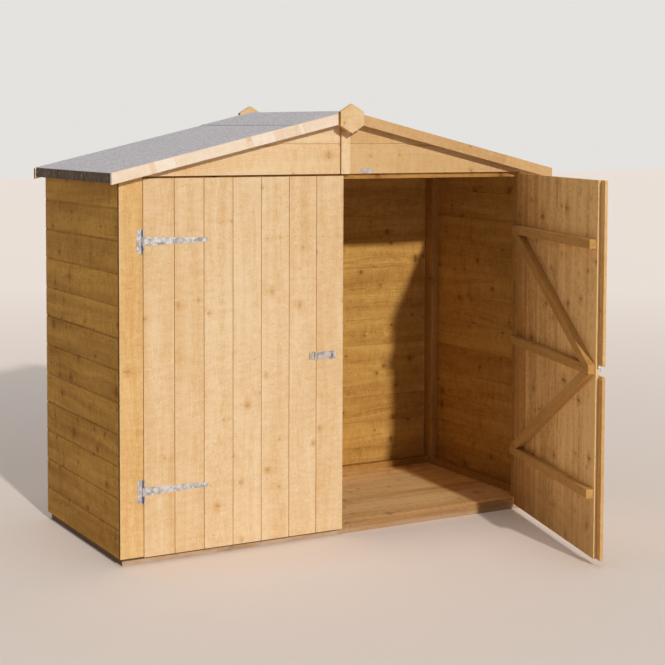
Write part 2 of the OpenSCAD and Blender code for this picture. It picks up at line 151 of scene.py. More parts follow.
slab = bmesh.new()
bmesh.ops.create_grid(slab, x_segments=2, y_segments=2, size=40.0)
floor_mesh = bpy.data.meshes.new("studio_floor")
slab.to_mesh(floor_mesh)
slab.free()
studio_floor = stand("studio_floor", floor_mesh)
floor_paint, paint, matt = new_finish("pale_floor")
matt.inputs["Base Color"].default_value = (0.83, 0.725, 0.655, 1.0)
matt.inputs["Roughness"].default_value = 0.9
matt.inputs["Emission Color"].default_value = (1.0, 0.98, 0.94, 1.0)
away = vector_sum(paint, "LENGTH", place_on(paint))
fade = ramp(paint, away, 1.5, 9.0, 0.04, 0.22, kind="LINEAR")
floor_ray = shader_part(paint, "ShaderNodeLightPath").outputs
glow = sum_of(paint, "MULTIPLY", fade, floor_ray["Is Camera Ray"])
join(paint, glow, matt.inputs["Emission Strength"])
floor_mesh.materials.append(floor_paint)

bpy.context.scene.view_settings.view_transform = "Standard"


# Base: five cross bearers between a front and a back rail, of sawn softwood that
# was dipped brown. They lie on the ground and carry the floor.
def noise(tree, vector, scale, detail=2.0, rough=0.5):
    """Noise with so many patches a metre, or with so many along each of three axes."""
    if isinstance(scale, tuple):
        vector, scale = vector_sum(tree, "MULTIPLY", vector, scale), 1.0
    part = shader_part(tree, "ShaderNodeTexNoise")
    for name, value in (("Vector", vector), ("Scale", scale), ("Detail", detail), ("Roughness", rough)):
        join(tree, value, part.inputs[name])
    return part.outputs


def split(tree, source):
    """Splits a colour or a place into its three numbers."""
    kind = "ShaderNodeSeparateColor" if source.type == "RGBA" else "ShaderNodeSeparateXYZ"
    return fed(tree, shader_part(tree, kind), (source,)).outputs


def cells_of(tree, vector, scale, dimensions="3D"):
    """Fills the surface with cells, each with a colour of its own by chance."""
    part = shader_part(tree, "ShaderNodeTexVoronoi", feature="F1", voronoi_dimensions=dimensions)
    join(tree, vector, part.inputs["Vector"])
    join(tree, scale, part.inputs["Scale"])
    return part.outputs


def blend_colours(tree, mask, one, two):
    part = shader_part(tree, "ShaderNodeMix", data_type="RGBA")
    join(tree, mask, part.inputs["Factor"])
    for slot, value in zip([s for s in part.inputs if s.type == "RGBA"], (one, two)):
        join(tree, value, slot)
    return next(s for s in part.outputs if s.type == "RGBA")


def add_relief(tree, height, strength, distance):
    relief = shader_part(tree, "ShaderNodeBump")
    for name, value in (("Strength", strength), ("Distance", distance), ("Height", height)):
        join(tree, value, relief.inputs[name])
    join(tree, relief.outputs["Normal"], tree.nodes["Principled BSDF"].inputs["Normal"])


# The grain group sees a board along its own length. Rings about an off-centre pith
# give arches on flat faces and arcs on end grain. Knots lie across the grain.
pine = bpy.data.node_groups.new("pine_grain", "ShaderNodeTree")
for way, kind, names in (("INPUT", "NodeSocketVector", ("Grain",)),
                         ("INPUT", "NodeSocketColor", ("Pale", "Deep", "Knot")),
                         ("INPUT", "NodeSocketFloat", ("Tone", "Rings", "Streaks", "Knots", "Mark", "Sawn")),
                         ("OUTPUT", "NodeSocketColor", ("Color",)),
                         ("OUTPUT", "NodeSocketFloat", ("Roughness", "Height"))):
    for name in names:
        pine.interface.new_socket(name, in_out=way, socket_type=kind)
given = pine.nodes.new("NodeGroupInput").outputs
wanted = pine.nodes.new("NodeGroupOutput").inputs
grain, knot, mark = given["Grain"], given["Knot"], given["Mark"]
times, plus, less, times_plus = (
    partial(sum_of, pine, kind) for kind in ("MULTIPLY", "ADD", "SUBTRACT", "MULTIPLY_ADD"))
power, size_of = (partial(sum_of, pine, kind) for kind in ("POWER", "ABSOLUTE"))


def scattered(along, across, share, moved):
    """Scatters marks over the board: where each is, in metres, its random numbers, and if it's there."""
    shifted = vector_sum(pine, "ADD", grain, moved)
    spread = vector_sum(pine, "MULTIPLY", shifted, (along, across, 0.0))
    cells = cells_of(pine, spread, 1.0, "2D")
    offset = vector_sum(pine, "SUBTRACT", spread, cells["Position"])
    local = vector_sum(pine, "MULTIPLY", offset, (1.0 / along, 1.0 / across, 0.0))
    odds = split(pine, cells["Color"])
    return local, odds, sum_of(pine, "LESS_THAN", odds[0], share)


def astray(source, reach):
    """Turns a noise's colour into a shift of up to half the reach either way."""
    centred = vector_sum(pine, "SUBTRACT", source["Color"], (0.5, 0.5, 0.5))
    return vector_sum(pine, "MULTIPLY", centred, reach)


def length_of(vector, stretch):
    return vector_sum(pine, "LENGTH", vector_sum(pine, "MULTIPLY", vector, stretch))


def fading(value, near, far):
    return ramp(pine, value, near, far, 1.0, 0.0)


# Knots: an oval core with a dark, ragged rim and eye, and a stain about it.
ragged = noise(pine, grain, (130.0, 130.0, 130.0), 3.0, 0.6)
frayed = astray(ragged, (0.009, 0.012, 0.0))
spot, odds, there = scattered(5.6, 9.5, given["Knots"], (0.0, 0.0, 0.0))
spot = vector_sum(pine, "ADD", spot, frayed)
least_knot, knot_spread = 0.0022, 0.0060
knot_r = times_plus(power(odds[1], 2.5), knot_spread, least_knot)
oval = fed(pine, shader_part(pine, "ShaderNodeCombineXYZ"), (1.25, times_plus(odds[2], 0.65, 0.35)))
from_knot = length_of(spot, oval.outputs[0])
core = times(there, fading(from_knot, times(knot_r, 0.55), times(knot_r, 1.15)))
eye = times(there, fading(from_knot, 0.0, times(knot_r, 0.8)))
halo = times(there, fading(length_of(spot, (0.5, 0.8, 0.0)), 0.0, times(knot_r, 3.4)))
rim = less(1.0, ramp(pine, size_of(less(from_knot, knot_r)), 0.0006, 0.0022))
rim = times(times(rim, there), ramp(pine, ragged["Fac"], 0.46, 0.58))
whorl = times(there, fading(size_of(split(pine, spot)[0]), 0.002, 0.022))

# Dashes: small flecks that lie across the grain, more thickly spread than the knots.
dash_at, dash_odds, dash_there = scattered(17.0, 30.0, times(given["Knots"], 0.55), (3.7, 1.9, 0.0))
dash_at = vector_sum(pine, "ADD", dash_at, vector_sum(pine, "MULTIPLY", frayed, (0.4, 0.4, 0.0)))
from_dash = length_of(dash_at, (2.0, 0.62, 0.0))
dash = times(dash_there, fading(from_dash, 0.0010, times_plus(dash_odds[1], 0.0038, 0.0020)))

# Year rings, bowed along the board and drawn round the knots.
rings_a_metre = 330.0
bow = astray(noise(pine, grain, (1.5, 2.5, 2.5), 1.0), (0.0, 0.11, 0.07))
wandering = vector_sum(pine, "ADD", grain, bow)
fine = noise(pine, grain, (5.0, 420.0, 420.0))["Fac"]
years = times(length_of(wandering, (0.0, 1.0, 1.0)), rings_a_metre)
years = plus(plus(years, times(halo, 1.8)), times(fine, 0.35))
late = power(sum_of(pine, "FRACT", years), 2.4)

# Depth of colour: rings, long streaks, clouds of stain, flecks and curls.
bands = noise(pine, wandering, (0.7, 26.0, 26.0), 3.0, 0.55)["Fac"]
cloud = noise(pine, grain, (3.0, 8.0, 8.0), 4.0, 0.6)["Fac"]
fleck = noise(pine, grain, (150.0, 330.0, 330.0), 2.0, 0.7)["Fac"]
swirl = noise(pine, wandering, (55.0, 24.0, 24.0), 4.0, 0.65)["Fac"]
depth = times(late, given["Rings"])
for layer in (times(less(bands, 0.5), given["Streaks"]), times_plus(cloud, 0.9, -0.45),
              times(given["Tone"], 0.26), times_plus(fleck, 1.4, -0.70), times_plus(swirl, 1.0, -0.50),
              times(times(whorl, cloud), 0.22)):
    depth = plus(depth, layer)
depth = plus(depth, times_plus(fine, 0.30, 0.17), clamp=True)
depth = times_plus(halo, 0.38, depth, clamp=True)
wood = blend_colours(pine, depth, given["Pale"], given["Deep"])
heart = blend_colours(pine, times(eye, ragged["Fac"]), knot, given["Deep"])
for share, colour in ((times(times(halo, mark), 0.22), knot), (times(core, times(mark, mark)), heart),
                      (times(times(rim, mark), 0.9), knot), (times(times(dash, mark), 0.7), knot)):
    wood = blend_colours(pine, share, wood, colour)
join(pine, wood, wanted["Color"])

saw = noise(pine, grain, (260.0, 14.0, 14.0), 3.0, 0.7)["Fac"]
height = times_plus(fine, 0.7, times(saw, given["Sawn"]))
height = plus(height, times(late, 0.35))
join(pine, less(height, times(core, 0.6)), wanted["Height"])
join(pine, less(times_plus(late, -0.10, 0.68), times(core, 0.15)), wanted["Roughness"])


def pine_finish(name, pale, deep, knot, rings, streaks, knots, mark, sawn=0.0, bump=0.25, shine=0.22):
    finish, tree, shader = new_finish(name)
    figure = shader_part(tree, "ShaderNodeGroup", node_tree=pine)
    laid, tone = (shader_part(tree, "ShaderNodeAttribute", attribute_name=of) for of in ("grain", "tone"))
    for socket, value in (("Grain", laid.outputs["Vector"]), ("Tone", tone.outputs["Fac"]),
                          ("Pale", (*pale, 1.0)), ("Deep", (*deep, 1.0)), ("Knot", (*knot, 1.0)),
                          ("Rings", rings), ("Streaks", streaks), ("Knots", knots), ("Mark", mark),
                          ("Sawn", sawn)):
        join(tree, value, figure.inputs[socket])
    shader.inputs["Specular IOR Level"].default_value = shine
    add_relief(tree, figure.outputs["Height"], bump, 0.001)
    join(tree, figure.outputs["Color"], shader.inputs["Base Color"])
    join(tree, figure.outputs["Roughness"], shader.inputs["Roughness"])
    return finish


def opened(finish):
    """Opens a finish again: its tree, the socket of its colour, and what is joined to that."""
    slot = finish.node_tree.nodes["Principled BSDF"].inputs["Base Color"]
    return finish.node_tree, slot, slot.links[0].from_socket


chooser = random.Random(11)


def merge(whole, part):
    """Adds a made part to the piece it belongs to."""
    scrap = bpy.data.meshes.new("scrap")
    part.to_mesh(scrap)
    part.free()
    whole.from_mesh(scrap)
    bpy.data.meshes.remove(scrap)


def add_board(whole, board, along, across, ease=0.001, shade=None):
    """Eases a board's edges, lays its grain and tone, and adds it to the piece."""
    bmesh.ops.recalc_face_normals(board, faces=board.faces)
    if ease:
        bmesh.ops.bevel(board, geom=board.edges[:], offset=ease, segments=2, profile=0.5, affect="EDGES",
                        material=-1, clamp_overlap=True)
    laid = board.verts.layers.float_vector.new("grain")
    tone = board.verts.layers.float.new("tone")
    along = Vector(along).normalized()
    across = Vector(across).normalized()
    deep = along.cross(across)
    middle = sum((v.co for v in board.verts), Vector()) / len(board.verts)
    start = chooser.uniform(0.0, 60.0)
    pith = Vector((start, chooser.uniform(-0.03, 0.03), chooser.uniform(0.03, 0.09)))
    chance = chooser.uniform(-1.0, 1.0)
    for v in board.verts:
        at = v.co - middle
        v[laid] = Vector((at.dot(along), at.dot(across), at.dot(deep))) + pith
        v[tone] = chance if shade is None else shade
    merge(whole, board)


def block(low, high):
    """Squares a length of timber or a plate of steel up between two corners."""
    board = bmesh.new()
    bmesh.ops.create_cube(board, size=1.0)
    bmesh.ops.scale(board, vec=high - low, verts=board.verts)
    bmesh.ops.translate(board, vec=(low + high) / 2, verts=board.verts)
    return board


def saw_off(board, cuts):
    """Saws a board off at each plane, and closes its end."""
    for point, outward in cuts:
        bmesh.ops.bisect_plane(board, geom=board.verts[:] + board.edges[:] + board.faces[:], plane_co=point,
                               plane_no=outward, clear_outer=True)
        bmesh.ops.holes_fill(board, edges=[e for e in board.edges if e.is_boundary], sides=0)


def add_plank(whole, low, high, along, cuts=(), ease=0.001, shade=None):
    """Adds a square-edged length of timber between two corners, sawn off at each cut."""
    low, high = Vector(low), Vector(high)
    board = block(low, high)
    saw_off(board, cuts)
    axis = "xyz".index(along)
    sizes = high - low
    wide = max((i for i in range(3) if i != axis), key=lambda i: sizes[i])
    add_board(whole, board, [i == axis for i in range(3)], [i == wide for i in range(3)], ease, shade)


def make_piece(name, whole, body, slot, finishes, *nodes):
    """Makes the mesh an object of the shed that stands for the named CAD nodes."""
    mesh = bpy.data.meshes.new(name)
    whole.to_mesh(mesh)
    whole.free()
    piece = stand(name, mesh)
    for finish in finishes if isinstance(finishes, tuple) else (finishes,):
        mesh.materials.append(finish)
    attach(piece, body)
    if nodes:
        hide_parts(*nodes)


sawn_brown_and_painted_shade = pine_finish("sawn_brown_pine_and_painted_shade", (0.49, 0.265, 0.098), (0.28, 0.135, 0.042), (0.12, 0.05, 0.015),
                         rings=0.30, streaks=1.6, knots=0.4, mark=0.8, sawn=1.6, bump=0.5)

# Pale dust lies near the ground, most of all under the closed door. Above it runs a dark line of painted
# shadow, where the door's foot shades the rail. The rails' ends are darkened with painted shade.
rail_low, rail_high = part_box("base_rails")
tree, stain, brown = opened(sawn_brown_and_painted_shade)
place = place_on(tree)
across, deep, rise = split(tree, place)[:3]
splash = noise(tree, place, (9.0, 9.0, 40.0), 4.0, 0.65)["Fac"]
under_door = ramp(tree, across, -0.03, 0.0, 1.0, 0.0)
sheltered = sum_of(tree, "MULTIPLY", under_door, sum_of(tree, "LESS_THAN", deep, -0.37))
# Painted shadow: a dark line where the closed door's foot shades the rail.
painted_door_shadow = sum_of(tree, "MULTIPLY", sheltered, ramp(tree, rise, 0.0150, 0.0180, 0.0, 0.9))
painted_door_shadow = sum_of(tree, "MULTIPLY", painted_door_shadow, ramp(tree, rise, 0.0250, 0.0280, 1.0, 0.0))
side_face = sum_of(tree, "GREATER_THAN", sum_of(tree, "ABSOLUTE", across), rail_high.x - 0.0012)
# Painted shade: the door's shadow line and the rails' shaded end faces.
painted_shade_mask = sum_of(tree, "MAXIMUM", painted_door_shadow, sum_of(tree, "MULTIPLY", side_face, 0.8))
near_ground = ramp(tree, rise, 0.012, 0.026, 0.95, 0.1)
dusty = sum_of(tree, "MULTIPLY", ramp(tree, splash, 0.30, 0.58, 0.35, 1.0), near_ground)
dusty = sum_of(tree, "MULTIPLY", dusty, sum_of(tree, "MULTIPLY_ADD", sheltered, 0.5, 0.5))
dusted = blend_colours(tree, dusty, brown, (0.56, 0.41, 0.29, 1.0))
join(tree, blend_colours(tree, painted_shade_mask, dusted, (0.08, 0.045, 0.018, 1.0)), stain)

rail_w = 0.034
rails = bmesh.new()
add_plank(rails, rail_low, (rail_high.x, rail_low.y + rail_w, rail_high.z), "x")
add_plank(rails, (rail_low.x, rail_high.y - rail_w, rail_low.z), rail_high, "x")
make_piece("base_rail_timbers", rails, "shed", "base_timber", sawn_brown_and_painted_shade, "base_rails")

low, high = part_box("cross_bearers")
bearers = bmesh.new()
bearer_count = 5
for i in range(bearer_count):
    x = low.x + i * (high.x - low.x - rail_w) / (bearer_count - 1)
    add_plank(bearers, (x, low.y, low.z), (x + rail_w, high.y, high.z), "y")
make_piece("cross_bearer_timbers", bearers, "shed", "base_timber", sawn_brown_and_painted_shade, "cross_bearers")


# Floor: seven tongued boards that run the length of the shed, nailed to the bearers.
# They are planed, and browner than the walls.
def choose_finish(whole, choice):
    """Gives each face the finish that its normal and its middle call for."""
    for face in whole.faces:
        face.material_index = int(choice(face.normal, face.calc_center_median()))


floor_count, joint_gap = 7, 0.0005
floor_pine = pine_finish("floor_pine", (0.95, 0.640, 0.300), (0.68, 0.370, 0.130), (0.24, 0.10, 0.03),
                         rings=0.34, streaks=1.8, knots=0.7, mark=0.8, sawn=0.5, bump=0.35)
low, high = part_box("floor")
boards = bmesh.new()
for i in range(floor_count):
    y0, y1 = (low.y + n * (high.y - low.y) / floor_count for n in (i, i + 1))
    add_plank(boards, (low.x, y0, low.z), (high.x, y1 - joint_gap, high.z), "x", ease=0.0008)
choose_finish(boards, lambda normal, middle: normal.y < -0.6 and middle.y < low.y + 0.002)
make_piece("floor_boards", boards, "shed", "base_timber", (floor_pine, sawn_brown_and_painted_shade), "floor")


# Walls: shiplap of planed softwood, 12 mm thick, dipped honey brown. Each board has a
# hollow along its top, and its lower lip laps over the tongue of the board below.
pitch = math.radians(13.2)
slope = math.tan(pitch)
ridge_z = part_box("roof_right")[1].z
deck_tall = 0.012 / math.cos(pitch)
roof_foot = ridge_z - deck_tall - 0.0001
roof_cuts = [((0, 0, roof_foot), (side * slope, 0, 1)) for side in (1, -1)]
wall_pine = pine_finish("wall_pine", (0.67, 0.372, 0.073), (0.33, 0.145, 0.017), (0.13, 0.045, 0.008),
                        rings=0.34, streaks=1.3, knots=0.85, mark=0.85, bump=0.30, shine=0.12)
# The inner faces take a lighter copy of the wall's pine: painted fill light.
inner_wall_pine_with_painted_fill = pine_finish("inner_wall_pine_with_painted_fill", (0.680, 0.392, 0.105), (0.39, 0.182, 0.036),
                              (0.14, 0.05, 0.008), rings=0.34, streaks=1.4, knots=0.7, mark=0.9,
                              bump=0.28, shine=0.12)
gable_pine = pine_finish("gable_pine", (0.855, 0.665, 0.425), (0.710, 0.445, 0.200), (0.42, 0.19, 0.055),
                         rings=0.24, streaks=1.1, knots=0.55, mark=0.60, bump=0.24)
deep_gable_pine = pine_finish("deep_gable_pine", (0.740, 0.505, 0.260), (0.605, 0.360, 0.140),
                              (0.34, 0.14, 0.04), rings=0.24, streaks=1.2, knots=0.5, mark=0.7, bump=0.24)

# The hollow, as depths behind the face and heights above the joint.
hollow = ((0.0, -0.012), (0.0011, -0.0105), (0.0030, -0.0065), (0.0041, -0.0030), (0.0046, 0.0065))
tongue_up, lip_up, lip_t, wall_t = 0.0065, 0.0072, 0.0043, 0.0119
foot_cover, board_cover, spare = 0.106, 0.115, 0.02


def carried(board, grown, run):
    """Carries what was extruded along to the far end."""
    far = [v for v in grown["geom"] if isinstance(v, bmesh.types.BMVert)]
    bmesh.ops.translate(board, vec=run, verts=far)
    return board


def drawn_out(section, run):
    """Draws a section, given as its points at one end, out along the board."""
    board = bmesh.new()
    end = board.faces.new([board.verts.new(point) for point in section])
    return carried(board, bmesh.ops.extrude_face_region(board, geom=[end]), run)


def board_heights(foot, first_cover, top):
    """Heights of the joints. No board starts above the top, and the last runs past it to be sawn."""
    heights = [foot]
    z = foot + first_cover
    while z < top:
        heights.append(z)
        z += board_cover
    return heights + [top + 0.03]


def add_cladding(whole, levels, place, run, inward=(0, 0, 0), painted_foot_shade=0.0, painted_shade_fade=0.0):
    """Lays boards from the foot up. place() turns a section into points at one end of the wall."""
    for i, (z0, z1) in enumerate(zip(levels, levels[1:])):
        section = [(0.0006, z0), (0.0, z0 + 0.0006)]
        if z1 == levels[-1]:
            section += [(0.0, z1), (wall_t, z1)]
        else:
            section += [(d, z1 + up) for d, up in hollow] + [(wall_t, z1 + tongue_up)]
        section += [(wall_t, z0)] if i == 0 else [(wall_t, z0 + lip_up), (lip_t, z0 + lip_up), (lip_t, z0)]
        board = drawn_out([place(d, z) for d, z in section], run)
        saw_off(board, roof_cuts)
        bmesh.ops.recalc_face_normals(board, faces=board.faces)
        choose_finish(board, lambda normal, middle: normal.dot(Vector(inward)) > 0.5)
        # On the side walls the lower boards are darker, fading up the wall: painted shade.
        shade = chooser.uniform(-0.5, 0.5) + (painted_foot_shade - painted_shade_fade * i / len(levels))
        add_board(whole, board, run, (0, 0, 1), 0, shade)


for side, node in ((-1, "left_wall"), (1, "right_wall")):
    low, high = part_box(node)
    face_x, front_y = max(high.x, -low.x), low.y + 0.003
    wall = bmesh.new()
    # Painted shade darkens the side walls towards the foot.
    add_cladding(wall, board_heights(low.z, foot_cover, high.z - 0.015),
                 lambda d, z: (side * (face_x - d), front_y, z), Vector((0, high.y - front_y, 0)),
                 (-side, 0, 0), painted_foot_shade=0.7, painted_shade_fade=1.1)
    make_piece(node + "_shiplap", wall, "shed", "shiplap", (wall_pine, inner_wall_pine_with_painted_fill), node)

low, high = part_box("back_wall")
wall = bmesh.new()
add_cladding(wall, board_heights(low.z, foot_cover, high.z - 0.024), lambda d, z: (low.x, high.y - d, z),
             Vector((high.x - low.x, 0, 0)), (0, -1, 0))
make_piece("back_wall_shiplap", wall, "shed", "shiplap", (wall_pine, inner_wall_pine_with_painted_fill), "back_wall")

low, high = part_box("front_gable")
gable = bmesh.new()
for side in (-1, 1):
    add_cladding(gable, board_heights(low.z, board_cover, high.z - 0.024),
                 lambda d, z: (side * high.x, low.y + d, z), Vector((-side * (high.x - 0.0004), 0, 0)))
choose_finish(gable, lambda normal, middle: middle.x > 0)
make_piece("front_gable_shiplap", gable, "shed", "shiplap", (gable_pine, deep_gable_pine), "front_gable")


# Framing: planed battens, 28 by 34 mm with eased corners, nailed together behind the
# cladding. They are cut to the slope of the roof where they meet it.
frame_pine = pine_finish("frame_pine", (0.52, 0.275, 0.080), (0.31, 0.140, 0.030), (0.13, 0.045, 0.010),
                         rings=0.36, streaks=1.3, knots=0.5, mark=0.85, bump=0.28, shine=0.12)
thin, broad = 0.028, 0.034
batten_ease, trim_ease = 0.0015, 0.0012


def add_pair(whole, low, high, wide, along, cuts=(), ease=batten_ease):
    """Adds the same timber at the left and at the right of a box, with some to spare for a cut."""
    top = high.z + (spare if cuts else 0.0)
    for x in (low.x, high.x - wide):
        add_plank(whole, (x, low.y, low.z), (x + wide, high.y, top), along, cuts, ease)


low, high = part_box("side_posts")
posts = bmesh.new()
for x in (low.x, high.x - broad):
    for y in (low.y, high.y - thin):
        add_plank(posts, (x, y, low.z), (x + broad, y + thin, high.z + spare), "z", roof_cuts, batten_ease)
make_piece("side_wall_posts", posts, "shed", "battens", frame_pine, "side_posts")

low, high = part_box("side_rails")
side_rails = bmesh.new()
for x in (low.x, high.x - broad):
    for z0, z1, cuts in ((low.z, low.z + thin, ()),
                         (high.z - thin - broad * slope, high.z + spare, roof_cuts)):
        add_plank(side_rails, (x, low.y, z0), (x + broad, high.y, z1), "y", cuts, batten_ease)
make_piece("side_wall_rails", side_rails, "shed", "battens", frame_pine, "side_rails")

low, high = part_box("back_posts")
rail_low, rail_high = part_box("back_rails")
posts = bmesh.new()
add_pair(posts, low, high, broad, "z", roof_cuts)
add_plank(posts, (-thin / 2, low.y, rail_low.z + thin), (thin / 2, high.y, rail_high.z - broad), "z",
          ease=batten_ease)
make_piece("back_wall_posts", posts, "shed", "battens", frame_pine, "back_posts")

back_rails = bmesh.new()
add_plank(back_rails, rail_low, (rail_high.x, rail_high.y, rail_low.z + thin), "x", ease=batten_ease)
add_plank(back_rails, (rail_low.x, rail_low.y, rail_high.z - broad), rail_high, "x", ease=batten_ease)
make_piece("back_wall_rails", back_rails, "shed", "battens", frame_pine, "back_rails")

# Each rafter runs from the rail it stands on up to the ridge.
ridge_gap = 0.0005
rafter_foot = roof_foot - broad / math.cos(pitch)
for node in ("front_rafters", "back_rafters"):
    low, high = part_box(node)
    pair = bmesh.new()
    for side, x0, x1 in ((-1, low.x, -ridge_gap), (1, ridge_gap, high.x)):
        board = block(Vector((x0, low.y, low.z)), Vector((x1, high.y, low.z + 0.5)))
        saw_off(board, (((0, 0, roof_foot), (side * slope, 0, 1)),
                        ((0, 0, rafter_foot), (-side * slope, 0, -1))))
        add_board(pair, board, (1, 0, -side * slope), (side * slope, 0, 1), trim_ease)
    make_piece(node + "_pair", pair, "shed", "battens", frame_pine, node)

low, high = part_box("ridge_battens")
pair = bmesh.new()
for x0, x1 in ((low.x, -ridge_gap), (ridge_gap, high.x)):
    add_plank(pair, (x0, low.y, low.z + 0.004), (x1, high.y, high.z + spare), "y", roof_cuts, batten_ease)
make_piece("ridge_batten_pair", pair, "shed", "battens", frame_pine, "ridge_battens")

for node, along, cuts, ease in (("eave_battens", "y", roof_cuts, trim_ease),
                                ("door_jambs", "z", (), batten_ease)):
    pair = bmesh.new()
    add_pair(pair, *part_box(node), broad, along, cuts, ease)
    make_piece(node[:-1] + "_pair", pair, "shed", "battens", frame_pine, node)

low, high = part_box("door_header")
rebate = low.y + 0.004
header = bmesh.new()
add_plank(header, (low.x, rebate, low.z), high, "x", ease=batten_ease)
add_plank(header, (low.x, low.y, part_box("front_gable")[0].z), (high.x, rebate, high.z), "x", ease=0.0005)
make_piece("door_header_rail", header, "shed", "battens", frame_pine, "door_header")


# Front trims: planed boards that cover the cladding's ends beside the doorway, and a
# strip up the middle of the gable. They are a shade more orange than the doors.
trim_pine = pine_finish("trim_pine", (0.805, 0.545, 0.260), (0.595, 0.318, 0.088), (0.36, 0.14, 0.03),
                        rings=0.26, streaks=1.3, knots=0.5, mark=0.60, bump=0.24)
trim_w = 0.090
trims = bmesh.new()
add_pair(trims, *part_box("corner_trims"), trim_w, "z", roof_cuts, trim_ease)
# The trims' outer side faces take the dark sawn finish: painted shade.
choose_finish(trims, lambda normal, middle: normal.x * middle.x > 0.5)
make_piece("corner_trim_boards", trims, "shed", "trims", (trim_pine, sawn_brown_and_painted_shade), "corner_trims")

low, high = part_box("gable_strip")
strip = bmesh.new()
add_plank(strip, low, (high.x, high.y, high.z + spare), "z", roof_cuts, trim_ease)
# The strip's side faces take the dark sawn finish: painted shade.
choose_finish(strip, lambda normal, middle: abs(normal.x) > 0.5)
make_piece("gable_cover_strip", strip, "shed", "trims", (gable_pine, sawn_brown_and_painted_shade), "gable_strip")


# Roof: nine boards a side, laid from front to back, which show from inside and under
# the eaves.
roof_pine = pine_finish("roof_pine", (0.56, 0.290, 0.090), (0.33, 0.145, 0.030), (0.14, 0.05, 0.012),
                        rings=0.34, streaks=1.3, knots=0.7, mark=0.85, bump=0.28, shine=0.15)
deck_count, under_felt = 9, 0.00005
for side, node in ((-1, "roof_left"), (1, "roof_right")):
    low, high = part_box(node)
    reach = max(high.x, -low.x)
    deck = bmesh.new()
    for i in range(deck_count):
        x0, x1 = i * reach / deck_count, (i + 1) * reach / deck_count - joint_gap
        corners = [(x, ridge_z - x * slope - down) for x, down in (
            (x0, deck_tall), (x1, deck_tall), (x1, under_felt), (x0, under_felt))]
        board = drawn_out([(side * x, low.y, z) for x, z in corners], (0, high.y - low.y, 0))
        add_board(deck, board, (0, 1, 0), (1, 0, -side * slope), 0.0006)
    make_piece(node + "_boards", deck, "shed", "roof_boards", roof_pine, node)


# Felt: one bitumen sheet over both slopes, faced with grey mineral grains, turned down
# over the eaves and held by clout nails. A narrower strip is lapped over the ridge.
felt, tree, shader = new_finish("mineral_felt")
place = place_on(tree)
grains = cells_of(tree, place, 620.0)
patches = noise(tree, place, 5.0, 4.0, 0.6)["Fac"]
coarse = noise(tree, place, 95.0, 3.0, 0.7)["Fac"]
tint = sum_of(tree, "POWER", split(tree, grains["Color"])[0], 1.4)
mottled = blend_colours(tree, tint, (0.44, 0.42, 0.445, 1.0), (0.88, 0.85, 0.895, 1.0))
for share, colour in ((ramp(tree, patches, 0.35, 0.7, 0.0, 0.30), (0.50, 0.48, 0.51, 1.0)),
                      (ramp(tree, coarse, 0.46, 0.66, 0.0, 0.42), (0.36, 0.345, 0.37, 1.0)),
                      (ramp(tree, coarse, 0.52, 0.34, 0.0, 0.64), (0.88, 0.85, 0.885, 1.0))):
    mottled = blend_colours(tree, share, mottled, colour)
# The turned-down edges are darker and browner, in patches.
bent = shader_part(tree, "ShaderNodeAttribute", attribute_name="bent").outputs["Fac"]
edge_patches = noise(tree, place, (90.0, 90.0, 22.0), 4.0, 0.7)["Fac"]
darker_turned_edges = sum_of(tree, "MULTIPLY", bent, ramp(tree, edge_patches, 0.36, 0.58, 0.86, 1.0))
join(tree, blend_colours(tree, darker_turned_edges, mottled, (0.085, 0.050, 0.019, 1.0)), shader.inputs["Base Color"])
join(tree, ramp(tree, patches, 0.3, 0.7, 0.86, 0.97), shader.inputs["Roughness"])
wrinkle = sum_of(tree, "MULTIPLY", noise(tree, place, 14.0, 3.0)["Fac"], 1.5)
add_relief(tree, sum_of(tree, "ADD", grains["Distance"], wrinkle), 0.55, 0.0008)

felt_t = 0.002
bend_w = 0.0035


def lay_felt(name, half, near, far, node, turn_end=None):
    """Draws a strip of felt from its right half. Its turned-down edges wave, and end at turn_end."""
    sheet = bmesh.new()
    bent_layer = sheet.verts.layers.float.new("bent")
    path = [(-x, z) for x, z in reversed(half)] + half[1:]
    ends = [sheet.verts.new((x, near, z)) for x, z in path]
    lines = [sheet.edges.new(pair) for pair in zip(ends, ends[1:])]
    carried(sheet, bmesh.ops.extrude_edge_only(sheet, edges=lines), (0, far - near, 0))
    bmesh.ops.recalc_face_normals(sheet, faces=sheet.faces)
    if sum(f.normal.z for f in sheet.faces) < 0:
        bmesh.ops.reverse_faces(sheet, faces=sheet.faces)
    long_edges = [e for e in sheet.edges if abs(e.verts[0].co.y - e.verts[1].co.y) > 0.1]
    bmesh.ops.subdivide_edges(sheet, edges=long_edges, cuts=40, use_grid_fill=True)
    for v in sheet.verts:
        fall = min(1.0, max(0.0, (abs(v.co.x) - (felt_edge - bend_w)) / 0.0025))
        ripple = 0.0005 * math.sin(v.co.y * 23.0) + 0.0004 * math.sin(v.co.y * 57.0 + 1.0) - 0.0009
        v.co.x += math.copysign(ripple * fall, v.co.x)
        v[bent_layer] = fall
    if turn_end:
        bmesh.ops.bisect_plane(sheet, geom=sheet.verts[:] + sheet.edges[:] + sheet.faces[:],
                               plane_co=(0, turn_end, 0), plane_no=(0, 1, 0))
        middles = [(f, f.calc_center_median()) for f in sheet.faces]
        loose = [f for f, at in middles if at.y > turn_end and abs(at.x) > felt_edge - bend_w]
        bmesh.ops.delete(sheet, geom=loose, context="FACES")
    bmesh.ops.solidify(sheet, geom=sheet.faces[:], thickness=felt_t)
    make_piece(name, sheet, "shed", "felt", felt, node)


